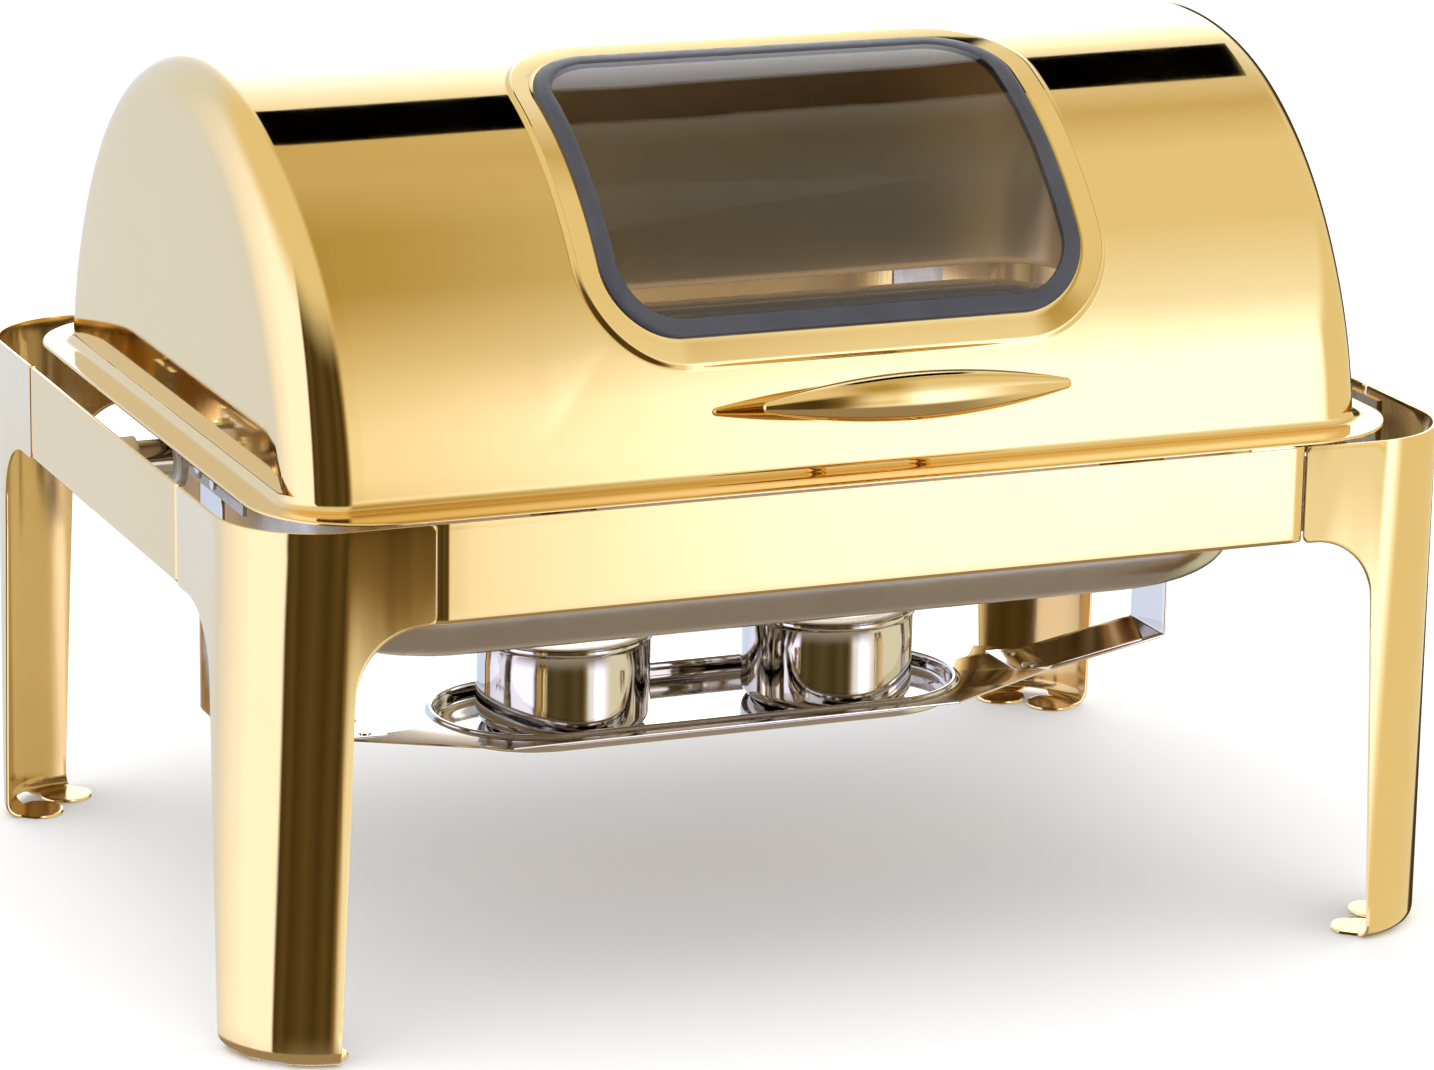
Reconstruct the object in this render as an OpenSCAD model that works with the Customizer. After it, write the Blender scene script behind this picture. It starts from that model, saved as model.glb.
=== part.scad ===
// Roll top chafer: a gold frame of four legs and four rails carries a water pan, a food
// pan and a fuel shelf, and a half-round lid rolls back about two studs in the end rails.
// X runs along the length, the front faces -Y, and the floor is Z = 0.

/* [Frame] */
// Length over the frame band
frame_length = 640; // [620:10:660]
// Depth over the frame band
frame_depth = 470; // [460:5:490]
// Height of the top edge of the band
band_top = 262; // [262:1:266]
// Height of the band
band_height = 49; // [46:1:52]
// Thickness of the leg and rail sheet
sheet = 1.5; // [1.2:0.1:2]
// Plan radius of the frame corners
corner_radius = 50; // [40:1:60]
// Half length of the front and back rails
seam_x = 227; // [215:1:235]
// Half length of the end rails
seam_y = 127; // [120:1:135]

/* [Legs] */
// Width of a leg's long flange under the shoulder
leg_width_x = 53; // [45:1:60]
// Width of a leg's long flange at the floor
foot_width_x = 46; // [40:1:52]
// Width of a leg's end flange under the shoulder
leg_width_y = 57; // [50:1:65]
// Width of a leg's end flange at the floor
foot_width_y = 48; // [42:1:54]
// Radius of the shoulder between a leg and the band
shoulder_radius = 34; // [25:1:40]
// Width of a foot tab
tab_width = 28; // [24:1:32]
// Reach of a foot tab from the flange's face
tab_reach = 33; // [28:1:36]

/* [Lid] */
// Outer radius of the lid
lid_radius = 200; // [196:1:204]
// Half length of the lid over its end walls
lid_half = 283; // [282:0.5:284]
// Thickness of the lid sheet
lid_sheet = 1; // [0.8:0.1:1.2]
// Radius between the lid's barrel and its end walls
lid_fillet = 28; // [20:1:34]
// Height of the lid's turning axis
axis_z = 242; // [240:1:244]
// Half depth of the lid's flange
flange_half_y = 226; // [220:1:227]
// Half length of the lid's flange
flange_half_x = 300; // [296:1:301]

/* [Window] */
// Angle of the window's middle above the front horizon
window_angle = 52.5; // [48:0.5:56]
// Half length of the window gasket
window_half_x = 127; // [110:1:140]
// Half chord of the window gasket
window_half_c = 91; // [80:1:100]
// How far the window's middle stands to the right of the lid's middle
window_shift = 8; // [0:1:12]
// Visible width of the gasket
gasket_lip = 9; // [8:0.5:12]

/* [Handle] */
// Length of the handle
handle_length = 162; // [140:2:180]
// Largest height of the handle
handle_height = 24; // [18:1:26]
// Angle of the handle above the front horizon
handle_angle = 15; // [12:1:18]
// Radius of the handle's middle about the lid's axis
handle_orbit = 232; // [228:0.5:232.5]
// How far the handle's middle stands to the right of the lid's middle
handle_shift = 21; // [0:1:24]

/* [Pans] */
// Half length of the water pan over its rim
water_half_x = 275; // [272:1:276]
// Half depth of the water pan over its rim
water_half_y = 184; // [180:1:186]
// Height of the water pan's underside
water_bottom = 165; // [160:1:170]
// Half length of the food pan over its rim
food_half_x = 265; // [263:1:266]
// Half depth of the food pan over its rim
food_half_y = 162.5; // [161:0.5:164]
// Depth of the food pan
food_depth = 65; // [40:1:68]

/* [Fuel] */
// Height of the fuel shelf's top face
shelf_top = 92; // [88:1:96]
// Half length of the tray pressed in the shelf
tray_half_x = 145; // [140:1:150]
// Half depth of the tray pressed in the shelf
tray_half_y = 53; // [50:1:56]
// Radius of a fuel holder
cup_radius = 45; // [40:1:46]
// Height of a fuel holder
cup_height = 50; // [44:1:54]
// Distance of each fuel holder from the middle
cup_place = 74; // [70:1:80]

/* [Hidden] */
$fn = 96;

gold = [0.86, 0.68, 0.32];
steel = [0.78, 0.78, 0.79];
dull_steel = [0.62, 0.62, 0.63];
rubber = [0.28, 0.29, 0.32];
eps = 0.01;

half_l = frame_length / 2;
half_w = frame_depth / 2;
band_bottom = band_top - band_height;
seam_gap = 0.4;
inner_x = half_l - sheet;
inner_y = half_w - sheet;

flange_top = band_top;
flange_bottom = flange_top - 1.2;
flange_radius = 60;

carrier_x = half_l - 56.5;
carrier_sheet = 2;
stud_radius = 6;
bracket_plate = 2.5;
bracket_face = inner_x - bracket_plate;
boss_start = half_l - 17.5;
collar_start = lid_half + 1.5;
hinge_plate_thick = 2.5;
bush_clearance = 0.05;

pan_ledge = band_top - 8;
pan_rim_top = band_top - 4;

glass_thick = 3.5;
glass_outer = lid_radius + 0.6;

shelf_sheet = 1.2;
tray_depth = 8;
hanger_width = 40;
hanger_sheet = 1.5;

// ---------- shared shapes ----------

// Rectangle with round corners, half sizes a and b
module round_rect(a, b, r) {
    square([2 * a, 2 * (b - r)], center = true);
    square([2 * (a - r), 2 * b], center = true);
    for (sx = [-1, 1], sy = [-1, 1])
        translate([sx * (a - r), sy * (b - r)]) circle(r);
}

// Plate with round corners between two heights
module slab(a, b, r, z0, z1) {
    translate([0, 0, z0]) linear_extrude(z1 - z0) round_rect(a, b, r);
}

// Cylinder along X between two places
module x_rod(r, x0, x1) {
    translate([x0, 0, 0]) rotate([0, 90, 0]) cylinder(r = r, h = x1 - x0);
}

// Draws a right-hand part, or its mirror image on the left
module right_side(side) {
    if (side > 0) children();
    else mirror([1, 0, 0]) children();
}

// Draws a back part, or its mirror image at the front
module back_side(side) {
    if (side > 0) children();
    else mirror([0, 1, 0]) children();
}

// ---------- frame ----------

module band_ring(z0, z1) {
    difference() {
        slab(half_l, half_w, corner_radius, z0, z1);
        slab(inner_x, inner_y, corner_radius - sheet, z0 - 1, z1 + 1);
    }
}

// Side view of a leg: the band end, the round shoulder and the tapered leg
module leg_outline(half, seam, top_width, foot_width) {
    shoulder_z = band_bottom - shoulder_radius;
    difference() {
        polygon([
            [seam + seam_gap, band_top], [half + 1, band_top], [half + 1, 0],
            [half - foot_width, 0], [half - top_width, shoulder_z],
            [half - top_width - shoulder_radius, shoulder_z],
            [half - top_width - shoulder_radius, band_bottom],
            [seam + seam_gap, band_bottom]
        ]);
        translate([half - top_width - shoulder_radius, shoulder_z])
            circle(shoulder_radius);
    }
}

// Round-ended tab folded in at the foot of a flange, reaching towards -Y
module foot_tab() {
    radius = tab_width / 2;
    linear_extrude(sheet) {
        translate([0, radius - tab_reach]) circle(radius);
        translate([-radius, radius - tab_reach]) square([tab_width, tab_reach - radius]);
    }
}

module leg(sx, sy) {
    tab_inset = 41;
    color(gold) right_side(sx) back_side(sy) {
        intersection() {
            band_ring(0, band_top);
            rotate([90, 0, 0]) linear_extrude(half_w * 2 + 2, center = true)
                leg_outline(half_l, seam_x, leg_width_x, foot_width_x);
            rotate([90, 0, 90]) linear_extrude(half_l * 2 + 2, center = true)
                leg_outline(half_w, seam_y, leg_width_y, foot_width_y);
        }
        intersection() {
            slab(half_l, half_w, corner_radius, 0, sheet);
            union() {
                translate([half_l - tab_inset, half_w, 0]) foot_tab();
                translate([half_l, half_w - tab_inset, 0]) rotate([0, 0, -90]) foot_tab();
            }
        }
    }
}

module leg_front_left() { leg(-1, -1); }
module leg_front_right() { leg(1, -1); }
module leg_back_left() { leg(-1, 1); }
module leg_back_right() { leg(1, 1); }

rail_return = 5;

// Straight rail with a narrow return along its lower edge, face towards +Y
module rail(half_length, face) {
    color(gold) translate([-half_length + seam_gap, 0, 0]) {
        translate([0, face - sheet, band_bottom])
            cube([2 * (half_length - seam_gap), sheet, band_height]);
        translate([0, face - rail_return - sheet, band_bottom])
            cube([2 * (half_length - seam_gap), rail_return + eps, sheet]);
    }
}

module rail_front() { mirror([0, 1, 0]) rail(seam_x, half_w); }
module rail_back() { rail(seam_x, half_w); }
module rail_left() { rotate([0, 0, 90]) rail(seam_y, half_l); }
module rail_right() { rotate([0, 0, -90]) rail(seam_y, half_l); }

// Plates spot-welded behind the eight seams
module splice_plates() {
    plate = [30, 1.5, 38];
    color(dull_steel) for (sx = [-1, 1], sy = [-1, 1]) {
        translate([sx * seam_x - plate.x / 2, sy * (inner_y - plate.y / 2) - plate.y / 2,
            band_bottom + 6]) cube(plate);
        translate([sx * (inner_x - plate.y / 2) - plate.y / 2, sy * seam_y - plate.x / 2,
            band_bottom + 6]) cube([plate.y, plate.x, plate.z]);
    }
}

// ---------- pivots ----------

bracket_stud_y = 20;
bracket_stud_z = 10;
bracket_bottom = axis_z - 26;
bracket_stud_r = 2.5;

module bracket_stud_places() {
    for (y = [-1, 1], z = [-1, 1])
        translate([0, y * bracket_stud_y, axis_z - 2 + z * bracket_stud_z]) children();
}

// Plate inside an end rail with the boss that holds the stud and the lug that stops the lid
module pivot_bracket(side) {
    boss_radius = 12;
    lug_start = lid_half + 5;
    lug_back = flange_bottom - axis_z - 0.2;
    color(dull_steel) right_side(side) difference() {
        union() {
            translate([bracket_face, -26, bracket_bottom]) cube([bracket_plate, 52, 42]);
            translate([0, 0, axis_z]) x_rod(boss_radius, boss_start, bracket_face + eps);
            translate([lug_start, 8, bracket_bottom])
                cube([bracket_face - lug_start + eps, lug_back - 8, 8]);
        }
        translate([0, 0, axis_z]) x_rod(stud_radius, boss_start - 1, bracket_face);
        bracket_stud_places() x_rod(bracket_stud_r, bracket_face - 1, inner_x + 1);
    }
}

module pivot_bracket_left() { pivot_bracket(-1); }
module pivot_bracket_right() { pivot_bracket(1); }

module bracket_studs() {
    color(steel) for (side = [-1, 1]) right_side(side)
        bracket_stud_places() x_rod(bracket_stud_r, inner_x - 9, inner_x);
}

module bracket_nuts() {
    nut_thick = 3.5;
    color(steel) for (side = [-1, 1]) right_side(side) bracket_stud_places()
        difference() {
            translate([bracket_face - nut_thick, 0, 0]) rotate([0, 90, 0])
                cylinder(r = 4.6, h = nut_thick, $fn = 6);
            x_rod(bracket_stud_r, bracket_face - nut_thick - 1, inner_x);
        }
}

module pivot_stud(side) {
    color(steel) right_side(side) translate([0, 0, axis_z])
        x_rod(stud_radius, carrier_x, bracket_face);
}

module pivot_stud_left() { pivot_stud(-1); }
module pivot_stud_right() { pivot_stud(1); }

// Spacer that keeps the lid central on its studs
module pivot_collar(side) {
    color(steel) right_side(side) translate([0, 0, axis_z]) difference() {
        x_rod(9.5, collar_start, boss_start);
        x_rod(stud_radius, collar_start - 1, boss_start + 1);
    }
}

module pivot_collar_left() { pivot_collar(-1); }
module pivot_collar_right() { pivot_collar(1); }

// Nuts that clamp the pan carriers to the studs
module stud_nuts() {
    nut_start = carrier_x + carrier_sheet;
    color(steel) for (side = [-1, 1]) right_side(side) translate([0, 0, axis_z])
        difference() {
            translate([nut_start, 0, 0]) rotate([0, 90, 0])
                cylinder(r = 10, h = 5, $fn = 6);
            x_rod(stud_radius, nut_start - 1, nut_start + 6);
        }
}

// ---------- pan supports ----------

rivet_radius = 2;
hanger_rivet_y = 12;
hanger_top = axis_z - 7;
hanger_rivet_z = hanger_top - 5;

module pan_carrier(side) {
    carrier_half = 60;
    color(dull_steel) right_side(side) difference() {
        union() {
            translate([carrier_x, -carrier_half, band_top - 37])
                cube([carrier_sheet, 2 * carrier_half, pan_ledge - band_top + 37]);
            translate([carrier_x, -carrier_half, pan_ledge - carrier_sheet])
                cube([12.5, 2 * carrier_half, carrier_sheet]);
        }
        translate([0, 0, axis_z]) x_rod(stud_radius, carrier_x - 1, carrier_x + 3);
        for (sy = [-1, 1]) translate([0, sy * hanger_rivet_y, hanger_rivet_z])
            x_rod(rivet_radius, carrier_x - 1, carrier_x + 3);
    }
}

module pan_carrier_left() { pan_carrier(-1); }
module pan_carrier_right() { pan_carrier(1); }

rest_x = 150;
rest_reach = 56;
bumper_y = 213;

// Angle inside the front rail that holds the water pan's lip and a lid bumper
module front_rest(side) {
    half = 14;
    drop = 26;
    color(dull_steel) right_side(side) mirror([0, 1, 0]) translate([rest_x, 0, 0]) {
        translate([-half, inner_y - 2, pan_ledge - drop]) cube([2 * half, 2, drop]);
        translate([-half, inner_y - rest_reach, pan_ledge - 2]) cube([2 * half, rest_reach, 2]);
        for (sx = [-1, 1]) translate([sx * (half - 1) - 1, 0, 0]) rotate([90, 0, 90])
            linear_extrude(2) polygon([
                [inner_y - 1, pan_ledge - drop], [inner_y - 1, pan_ledge - 1],
                [inner_y - rest_reach + 6, pan_ledge - 1]
            ]);
    }
}

module front_rest_left() { front_rest(-1); }
module front_rest_right() { front_rest(1); }

module lid_bumpers() {
    color(rubber) for (sx = [-1, 1])
        translate([sx * rest_x, -bumper_y, pan_ledge])
            cylinder(r = 7, h = flange_bottom - pan_ledge);
}

// ---------- fuel shelf ----------

shelf_half_y = 61;
shelf_end_x = 196;
shelf_neck_x = 124;

module shelf_plan() {
    polygon([
        [-shelf_end_x, -hanger_width / 2], [-shelf_neck_x, -shelf_half_y],
        [shelf_neck_x, -shelf_half_y], [shelf_end_x, -hanger_width / 2],
        [shelf_end_x, hanger_width / 2], [shelf_neck_x, shelf_half_y],
        [-shelf_neck_x, shelf_half_y], [-shelf_end_x, hanger_width / 2]
    ]);
}

plate_rivet_x = shelf_end_x - 10;
hanger_start_z = shelf_top - shelf_sheet - hanger_sheet;

module fuel_shelf() {
    tray_floor = shelf_top - tray_depth;
    lip_width = 3;
    color(steel) difference() {
        union() {
            translate([0, 0, shelf_top - shelf_sheet]) linear_extrude(shelf_sheet) shelf_plan();
            slab(tray_half_x, tray_half_y, tray_half_y - 1, shelf_top - eps, shelf_top + 2);
            slab(tray_half_x - lip_width + shelf_sheet, tray_half_y - lip_width + shelf_sheet,
                tray_half_y - lip_width, tray_floor - shelf_sheet, shelf_top);
        }
        slab(tray_half_x - lip_width, tray_half_y - lip_width,
            tray_half_y - lip_width - 1, tray_floor, shelf_top + 5);
        for (sx = [-1, 1], sy = [-1, 1])
            translate([sx * plate_rivet_x, sy * hanger_rivet_y, shelf_top - 5])
                cylinder(r = rivet_radius, h = 10);
    }
}

// Strap from the shelf's end up to the pan carrier
module shelf_hanger(side) {
    bend_x = carrier_x - hanger_sheet;
    rise = 13;
    color(steel) right_side(side) difference() {
        rotate([90, 0, 0]) linear_extrude(hanger_width, center = true) polygon([
            [shelf_end_x - 20, hanger_start_z], [shelf_end_x + 1.2, hanger_start_z],
            [carrier_x, hanger_start_z + rise], [carrier_x, hanger_top],
            [bend_x, hanger_top], [bend_x, hanger_start_z + rise + hanger_sheet],
            [shelf_end_x + 0.4, hanger_start_z + hanger_sheet],
            [shelf_end_x - 20, hanger_start_z + hanger_sheet]
        ]);
        for (sy = [-1, 1]) {
            translate([plate_rivet_x, sy * hanger_rivet_y, hanger_start_z - 1])
                cylinder(r = rivet_radius, h = 5);
            translate([0, sy * hanger_rivet_y, hanger_rivet_z])
                x_rod(rivet_radius, bend_x - 1, carrier_x + 1);
        }
    }
}

module shelf_hanger_left() { shelf_hanger(-1); }
module shelf_hanger_right() { shelf_hanger(1); }

// Rivet along +Z through a stack of sheets, with a low head at each end
module rivet(stack) {
    head = 1;
    translate([0, 0, -head]) cylinder(r = 3.4, h = head);
    cylinder(r = rivet_radius, h = stack);
    translate([0, 0, stack]) cylinder(r = 3.4, h = head);
}

module shelf_rivets() {
    color(steel) for (side = [-1, 1], sy = [-1, 1]) right_side(side) {
        translate([plate_rivet_x, sy * hanger_rivet_y, hanger_start_z])
            rivet(hanger_sheet + shelf_sheet);
        translate([carrier_x - hanger_sheet, sy * hanger_rivet_y, hanger_rivet_z])
            rotate([0, 90, 0]) rivet(hanger_sheet + carrier_sheet);
    }
}

// ---------- fuel holders ----------

cup_floor = shelf_top - tray_depth;
cup_top = cup_floor + cup_height;
cup_sheet = 1;
ring_drop = 6;

// Upright profile with one round lower corner
module cup_profile(r, h, f) {
    square([r - f, h]);
    translate([0, f]) square([r, h - f]);
    intersection() {
        translate([r - f, f]) circle(f);
        square([r + 1, h]);
    }
}

module fuel_holder(side) {
    color(steel) translate([side * cup_place, 0, cup_floor]) difference() {
        union() {
            rotate_extrude() cup_profile(cup_radius, cup_height, 7);
            translate([0, 0, cup_height - 2]) cylinder(r = cup_radius + 1.2, h = 2);
        }
        translate([0, 0, cup_sheet])
            rotate_extrude() cup_profile(cup_radius - cup_sheet, cup_height, 6);
    }
}

module fuel_holder_left() { fuel_holder(-1); }
module fuel_holder_right() { fuel_holder(1); }

// Ring cover dropped in the mouth of a fuel holder
module fuel_ring(side) {
    flame_hole = 27;
    color(steel) translate([side * cup_place, 0, cup_top]) difference() {
        union() {
            cylinder(r = cup_radius + 0.6, h = 1);
            translate([0, 0, -ring_drop]) cylinder(r = cup_radius - cup_sheet - 0.2, h = ring_drop);
        }
        translate([0, 0, -ring_drop - 1])
            cylinder(r = cup_radius - 2 * cup_sheet - 0.2, h = ring_drop);
        translate([0, 0, -ring_drop - 1]) cylinder(r = flame_hole, h = ring_drop + 3);
    }
}

module fuel_ring_left() { fuel_ring(-1); }
module fuel_ring_right() { fuel_ring(1); }

// ---------- pans ----------

// Tapered tub: a round-cornered mouth blended to a smaller, rounder floor
module tub(a, b, r, z_mouth, z_floor, shrink, floor_r) {
    step = min(22, (z_mouth - z_floor) / 3);
    hull() {
        tub_level(a, b, r, z_mouth - 1);
        tub_level(a - shrink * 0.35, b - shrink * 0.35, r, z_floor + step);
        tub_level(a - shrink * 0.6, b - shrink * 0.6, r, z_floor + step / 3);
        tub_level(a - shrink, b - shrink, floor_r, z_floor);
    }
}

module tub_level(a, b, r, z) {
    slab(a, b, r, z, z + 1, $fn = 40);
}

module water_tub(shell, top) {
    wall_half_x = 257;
    wall_half_y = 160;
    tub(wall_half_x - shell, wall_half_y - shell, 38 - shell, top, water_bottom + shell, 34, 60);
}

module water_pan() {
    wall = 1;
    lip = 1;
    color(steel) difference() {
        union() {
            slab(water_half_x, water_half_y, 50, pan_ledge, pan_rim_top);
            water_tub(0, pan_rim_top);
        }
        difference() {
            slab(water_half_x - lip, water_half_y - lip, 49, pan_ledge - 1, pan_rim_top - 1);
            water_tub(0, pan_rim_top);
        }
        water_tub(wall, pan_rim_top + 5);
    }
}

module food_pan() {
    mouth_x = 252;
    mouth_y = 150;
    wall = 1;
    food_bottom = pan_rim_top + 1 - food_depth;
    color(steel) difference() {
        union() {
            slab(food_half_x, food_half_y, 22, pan_rim_top, pan_rim_top + 1);
            tub(mouth_x, mouth_y, 30, pan_rim_top + 1, food_bottom, 12, 26);
        }
        tub(mouth_x - wall, mouth_y - wall, 29, pan_rim_top + 6, food_bottom + wall, 12, 25);
    }
}

// ---------- lid ----------

// Barrel with round ends, about the turning axis
module barrel(r, half, f) {
    translate([0, 0, axis_z]) rotate([0, 90, 0]) rotate_extrude() {
        translate([0, -half]) square([r - f, 2 * half]);
        translate([0, f - half]) square([r, 2 * (half - f)]);
        for (s = [-1, 1]) intersection() {
            translate([r - f, s * (half - f)]) circle(f);
            translate([0, -half - 1]) square([r + 1, 2 * half + 2]);
        }
    }
}

// Rounded window outline pushed out along the window's normal
module window_prism(a, b, r) {
    translate([window_shift, 0, axis_z]) rotate([90 - window_angle, 0, 0])
        linear_extrude(lid_radius + 30) round_rect(a, b, r);
}

// Layer of the barrel's curve between two radii, inside the window outline
module window_layer(r0, r1, a, b, r) {
    intersection() {
        window_prism(a, b, r);
        difference() {
            translate([0, 0, axis_z]) x_rod(r1, -180, 180);
            translate([0, 0, axis_z]) x_rod(r0, -181, 181);
        }
    }
}

surround_width = 11;
surround_height = 1;
opening_x = window_half_x - 5;
opening_c = window_half_c - 5;
sight_x = window_half_x - gasket_lip;
sight_c = window_half_c - gasket_lip;
glass_x = opening_x - 2;
glass_c = opening_c - 2;

module lid_shell() {
    color(gold) difference() {
        union() {
            intersection() {
                barrel(lid_radius, lid_half, lid_fillet);
                translate([-lid_half - 1, -lid_radius - 1, flange_bottom])
                    cube([2 * lid_half + 2, 2 * lid_radius + 2, lid_radius]);
            }
            slab(flange_half_x, flange_half_y, flange_radius, flange_bottom, flange_top);
            window_layer(lid_radius - 0.5, lid_radius + surround_height,
                window_half_x + surround_width, window_half_c + surround_width, 48);
        }
        barrel(lid_radius - lid_sheet, lid_half - lid_sheet, lid_fillet - lid_sheet);
        window_prism(opening_x, opening_c, 33);
        for (side = [-1, 1]) at_handle() translate([side * post_x, 0, lid_radius - 5])
            cylinder(r = screw_radius, h = 10);
        window_layer(lid_radius, lid_radius + 5, window_half_x + 2, window_half_c + 2, 40);
    }
}

module window_glass() {
    color([0.5, 0.5, 0.5, 0.4])
        window_layer(glass_outer - glass_thick, glass_outer, glass_x, glass_c, 31);
}

gasket_inner = glass_outer - glass_thick - 2;
gasket_outer = glass_outer + 1.4;

module window_gasket() {
    color(rubber) difference() {
        window_layer(gasket_inner, gasket_outer, window_half_x, window_half_c, 38);
        window_prism(sight_x, sight_c, 28);
        window_layer(glass_outer - glass_thick, glass_outer, glass_x, glass_c, 31);
        difference() {
            window_layer(lid_radius - lid_sheet, lid_radius, window_half_x + 5,
                window_half_c + 5, 40);
            window_prism(opening_x, opening_c, 33);
        }
    }
}

retainer_x = window_half_x + 12;
retainer_c = window_half_c + 9;
retainer_outer = gasket_inner;
retainer_thick = 1.5;

// Place on the barrel, from x and the angle away from the window's normal
module window_stud_place(x, angle) {
    translate([window_shift + x, 0, axis_z])
        rotate([90 - window_angle + angle, 0, 0]) children();
}

window_stud_x = window_half_x + 6;
window_stud_turn = 29;
STUD_SPOTS = concat(
    [for (s = [-1, 1], k = [-1, 0, 1]) [s * window_stud_x, k * 15]],
    [for (s = [-1, 1], k = [-1, 0, 1]) [k * 62, s * window_stud_turn]]
);

module window_retainer() {
    color(dull_steel) difference() {
        window_layer(retainer_outer - retainer_thick, retainer_outer, retainer_x, retainer_c, 46);
        window_prism(sight_x + 1, sight_c + 1, 29);
        for (spot = STUD_SPOTS) window_stud_place(spot.x, spot.y)
            cylinder(r = 1.7, h = lid_radius);
    }
}

module window_studs() {
    color(steel) for (spot = STUD_SPOTS) window_stud_place(spot.x, spot.y)
        translate([0, 0, lid_radius - 9]) cylinder(r = 1.5, h = 9 - lid_sheet);
}

module window_nuts() {
    nut_thick = 2.4;
    color(steel) for (spot = STUD_SPOTS) window_stud_place(spot.x, spot.y)
        translate([0, 0, retainer_outer - retainer_thick - nut_thick - 0.05]) difference() {
            cylinder(r = 3.2, h = nut_thick, $fn = 6);
            translate([0, 0, -1]) cylinder(r = 1.5, h = nut_thick + 2);
        }
}

// ---------- handle ----------

post_x = 28;
post_radius = 5;
screw_radius = 2.5;

module at_handle() {
    translate([handle_shift, 0, axis_z]) rotate([90 - handle_angle, 0, 0]) children();
}

// Leaf-shaped grip: a spindle that narrows to a blunt end each way
module handle() {
    half = handle_length / 2;
    big = handle_height / 2;
    end_radius = 3;
    swell = big - end_radius;
    arc_radius = (half * half + swell * swell) / (2 * swell);
    color(gold) translate([handle_shift, 0, axis_z]) rotate([-handle_angle, 0, 0])
        translate([0, -handle_orbit, 0]) rotate([0, 90, 0]) rotate_extrude() intersection() {
            translate([big - arc_radius, 0]) circle(arc_radius, $fn = 360);
            translate([0, -half]) square([big + 1, handle_length]);
        }
}

module handle_post(side) {
    color(gold) difference() {
        at_handle() translate([side * post_x, 0, lid_radius - 1])
            difference() {
                cylinder(r = post_radius, h = handle_orbit - lid_radius - 6);
                translate([0, 0, -1]) cylinder(r = screw_radius, h = 16);
            }
        barrel(lid_radius, lid_half, lid_fillet);
        handle();
    }
}

module handle_post_left() { handle_post(-1); }
module handle_post_right() { handle_post(1); }

module handle_screws() {
    color(steel) at_handle() for (side = [-1, 1])
        translate([side * post_x, 0, 0]) {
            translate([0, 0, lid_radius - lid_sheet - 3.1]) cylinder(r = 4.5, h = 3);
            translate([0, 0, lid_radius - lid_sheet - 2]) cylinder(r = screw_radius, h = 14);
        }
}

// ---------- hinges ----------

hinge_inner = lid_half - lid_sheet - hinge_plate_thick;

// Plate inside the lid's end wall, with the lug that hangs on the stud
module hinge_plate(side) {
    lug_radius = 16;
    plate_half = 40;
    color(dull_steel) right_side(side) translate([hinge_inner, 0, axis_z]) difference() {
        rotate([90, 0, 90]) linear_extrude(hinge_plate_thick) {
            circle(lug_radius);
            translate([-lug_radius, 0]) square([2 * lug_radius, flange_top - axis_z + 2]);
            translate([-plate_half, flange_top - axis_z + 1]) square([2 * plate_half, 37]);
        }
        x_rod(9, -1, hinge_plate_thick + 1);
    }
}

module hinge_plate_left() { hinge_plate(-1); }
module hinge_plate_right() { hinge_plate(1); }

// Flanged plastic bush that turns on the stud
module hinge_bush(side) {
    color([0.9, 0.9, 0.88]) right_side(side) translate([0, 0, axis_z]) difference() {
        union() {
            x_rod(9, hinge_inner - 3, lid_half - lid_sheet + eps);
            x_rod(13, lid_half - lid_sheet, collar_start - 0.2);
        }
        x_rod(stud_radius + bush_clearance, hinge_inner - 4, collar_start);
    }
}

module hinge_bush_left() { hinge_bush(-1); }
module hinge_bush_right() { hinge_bush(1); }

leg_front_left();
leg_front_right();
leg_back_left();
leg_back_right();
rail_front();
rail_back();
rail_left();
rail_right();
splice_plates();
pivot_bracket_left();
pivot_bracket_right();
bracket_studs();
bracket_nuts();
pivot_stud_left();
pivot_stud_right();
pivot_collar_left();
pivot_collar_right();
stud_nuts();
pan_carrier_left();
pan_carrier_right();
front_rest_left();
front_rest_right();
lid_bumpers();
fuel_shelf();
shelf_hanger_left();
shelf_hanger_right();
shelf_rivets();
fuel_holder_left();
fuel_holder_right();
fuel_ring_left();
fuel_ring_right();
water_pan();
food_pan();
lid_shell();
window_glass();
window_gasket();
window_retainer();
window_studs();
window_nuts();
handle();
handle_post_left();
handle_post_right();
handle_screws();
hinge_plate_left();
hinge_plate_right();
hinge_bush_left();
hinge_bush_right();
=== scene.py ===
"""Looks of the roll top chafer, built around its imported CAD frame. Sizes are in millimetres."""
import math

import bmesh
import bpy
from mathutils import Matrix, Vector


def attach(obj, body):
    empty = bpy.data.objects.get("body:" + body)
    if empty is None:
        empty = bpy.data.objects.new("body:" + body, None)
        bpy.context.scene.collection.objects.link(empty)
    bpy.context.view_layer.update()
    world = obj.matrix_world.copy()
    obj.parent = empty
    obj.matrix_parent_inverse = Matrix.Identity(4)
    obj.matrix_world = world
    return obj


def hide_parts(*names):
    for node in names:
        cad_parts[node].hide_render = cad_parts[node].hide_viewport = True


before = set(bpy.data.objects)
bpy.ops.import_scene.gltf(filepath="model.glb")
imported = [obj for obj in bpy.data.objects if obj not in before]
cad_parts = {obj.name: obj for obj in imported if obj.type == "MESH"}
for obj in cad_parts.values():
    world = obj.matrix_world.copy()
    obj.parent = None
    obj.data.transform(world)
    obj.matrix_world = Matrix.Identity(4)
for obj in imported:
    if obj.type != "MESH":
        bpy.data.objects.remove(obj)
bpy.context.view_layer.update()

MM = 0.001
BEND_LIMIT = math.radians(50)
scene = bpy.context.scene
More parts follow.
